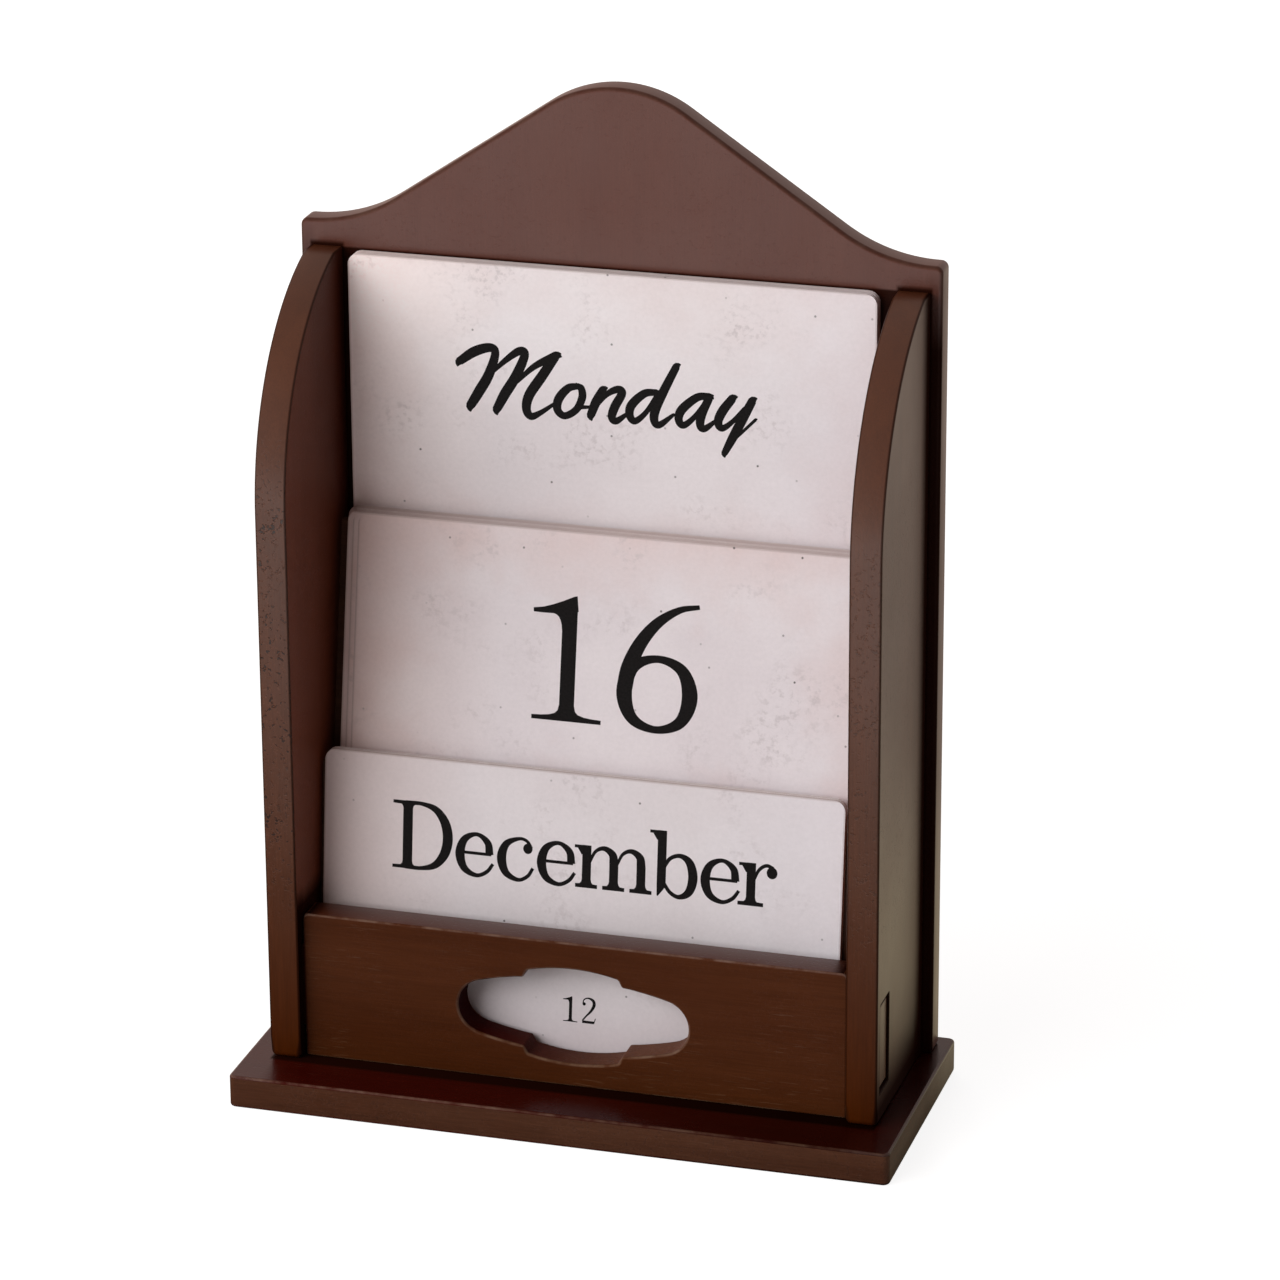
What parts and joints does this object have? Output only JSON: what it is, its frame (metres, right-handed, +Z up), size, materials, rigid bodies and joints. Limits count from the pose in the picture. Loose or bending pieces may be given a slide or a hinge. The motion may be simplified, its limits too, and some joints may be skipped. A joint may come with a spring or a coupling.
{
  "type": "perpetual calendar",
  "caption": "Wooden desk calendar stand with a bell-topped back, curved sides and a windowed front panel; loose month, date and weekday cards lift out of three tiers.",
  "frame": {"origin": "on the table under the middle of the base board", "axes": "+X to the right seen from the front, +Y to the back, +Z up"},
  "size_m": [0.18, 0.075, 0.268],
  "materials": {
    "stained_wood": "walnut-stained solid wood, satin lacquer, edges rubbed paler",
    "inner_wood": "thin stained board, matt",
    "screw_metal": "yellow-plated wood screws",
    "card_stock": "stiff matt card with a printed aged-paper tint"
  },
  "bodies": {
    "stand": {"base_board": "stained_wood", "back_board": "stained_wood", "left_side_panel": "stained_wood", "right_side_panel": "stained_wood", "front_panel": "stained_wood", "month_rest": "inner_wood", "date_rest": "inner_wood", "date_shelf": "inner_wood", "weekday_shelf": "inner_wood", "base_screws": "screw_metal", "back_screws": "screw_metal"},
    "month_card_1": {"month_card_1": "card_stock"},
    "month_card_2": {"month_card_2": "card_stock"},
    "month_card_3": {"month_card_3": "card_stock"},
    "month_card_4": {"month_card_4": "card_stock"},
    "month_card_5": {"month_card_5": "card_stock"},
    "month_card_6": {"month_card_6": "card_stock"},
    "date_card_1": {"date_card_1": "card_stock"},
    "date_card_2": {"date_card_2": "card_stock"},
    "date_card_3": {"date_card_3": "card_stock"},
    "date_card_4": {"date_card_4": "card_stock"},
    "date_card_5": {"date_card_5": "card_stock"},
    "date_card_6": {"date_card_6": "card_stock"},
    "date_card_7": {"date_card_7": "card_stock"},
    "date_card_8": {"date_card_8": "card_stock"},
    "date_card_9": {"date_card_9": "card_stock"},
    "date_card_10": {"date_card_10": "card_stock"},
    "date_card_11": {"date_card_11": "card_stock"},
    "date_card_12": {"date_card_12": "card_stock"},
    "date_card_13": {"date_card_13": "card_stock"},
    "date_card_14": {"date_card_14": "card_stock"},
    "date_card_15": {"date_card_15": "card_stock"},
    "date_card_16": {"date_card_16": "card_stock"},
    "weekday_card_1": {"weekday_card_1": "card_stock"},
    "weekday_card_2": {"weekday_card_2": "card_stock"},
    "weekday_card_3": {"weekday_card_3": "card_stock"},
    "weekday_card_4": {"weekday_card_4": "card_stock"}
  },
  "joints": [
    {"name": "month_card_1_lift", "type": "slide", "parent": "stand", "child": "month_card_1", "axis": [0, 0.1184, 0.993], "range_m": [0, 0.08]},
    {"name": "month_card_2_lift", "type": "slide", "parent": "stand", "child": "month_card_2", "axis": [0, 0.1184, 0.993], "range_m": [0, 0.08]},
    {"name": "month_card_3_lift", "type": "slide", "parent": "stand", "child": "month_card_3", "axis": [0, 0.1184, 0.993], "range_m": [0, 0.08]},
    {"name": "month_card_4_lift", "type": "slide", "parent": "stand", "child": "month_card_4", "axis": [0, 0.1184, 0.993], "range_m": [0, 0.08]},
    {"name": "month_card_5_lift", "type": "slide", "parent": "stand", "child": "month_card_5", "axis": [0, 0.1184, 0.993], "range_m": [0, 0.08]},
    {"name": "month_card_6_lift", "type": "slide", "parent": "stand", "child": "month_card_6", "axis": [0, 0.1184, 0.993], "range_m": [0, 0.08]},
    {"name": "date_card_1_lift", "type": "slide", "parent": "stand", "child": "date_card_1", "axis": [0, 0.1736, 0.9848], "range_m": [0, 0.038]},
    {"name": "date_card_2_lift", "type": "slide", "parent": "stand", "child": "date_card_2", "axis": [0, 0.1736, 0.9848], "range_m": [0, 0.0355]},
    {"name": "date_card_3_lift", "type": "slide", "parent": "stand", "child": "date_card_3", "axis": [0, 0.1736, 0.9848], "range_m": [0, 0.0335]},
    {"name": "date_card_4_lift", "type": "slide", "parent": "stand", "child": "date_card_4", "axis": [0, 0.1736, 0.9848], "range_m": [0, 0.0315]},
    {"name": "date_card_5_lift", "type": "slide", "parent": "stand", "child": "date_card_5", "axis": [0, 0.1736, 0.9848], "range_m": [0, 0.0295]},
    {"name": "date_card_6_lift", "type": "slide", "parent": "stand", "child": "date_card_6", "axis": [0, 0.1736, 0.9848], "range_m": [0, 0.0275]},
    {"name": "date_card_7_lift", "type": "slide", "parent": "stand", "child": "date_card_7", "axis": [0, 0.1736, 0.9848], "range_m": [0, 0.0255]},
    {"name": "date_card_8_lift", "type": "slide", "parent": "stand", "child": "date_card_8", "axis": [0, 0.1736, 0.9848], "range_m": [0, 0.0235]},
    {"name": "date_card_9_lift", "type": "slide", "parent": "stand", "child": "date_card_9", "axis": [0, 0.1736, 0.9848], "range_m": [0, 0.0215]},
    {"name": "date_card_10_lift", "type": "slide", "parent": "stand", "child": "date_card_10", "axis": [0, 0.1736, 0.9848], "range_m": [0, 0.0195]},
    {"name": "date_card_11_lift", "type": "slide", "parent": "stand", "child": "date_card_11", "axis": [0, 0.1736, 0.9848], "range_m": [0, 0.0175]},
    {"name": "date_card_12_lift", "type": "slide", "parent": "stand", "child": "date_card_12", "axis": [0, 0.1736, 0.9848], "range_m": [0, 0.015]},
    {"name": "date_card_13_lift", "type": "slide", "parent": "stand", "child": "date_card_13", "axis": [0, 0.1736, 0.9848], "range_m": [0, 0.013]},
    {"name": "date_card_14_lift", "type": "slide", "parent": "stand", "child": "date_card_14", "axis": [0, 0.1736, 0.9848], "range_m": [0, 0.011]},
    {"name": "date_card_15_lift", "type": "slide", "parent": "stand", "child": "date_card_15", "axis": [0, 0.1736, 0.9848], "range_m": [0, 0.009]},
    {"name": "date_card_16_lift", "type": "slide", "parent": "stand", "child": "date_card_16", "axis": [0, 0.1736, 0.9848], "range_m": [0, 0.007]},
    {"name": "weekday_card_1_lift", "type": "slide", "parent": "stand", "child": "weekday_card_1", "axis": [0, 0, 1], "range_m": [0, 0.08]},
    {"name": "weekday_card_2_lift", "type": "slide", "parent": "stand", "child": "weekday_card_2", "axis": [0, 0, 1], "range_m": [0, 0.08]},
    {"name": "weekday_card_3_lift", "type": "slide", "parent": "stand", "child": "weekday_card_3", "axis": [0, 0, 1], "range_m": [0, 0.08]},
    {"name": "weekday_card_4_lift", "type": "slide", "parent": "stand", "child": "weekday_card_4", "axis": [0, 0, 1], "range_m": [0, 0.08]}
  ]
}
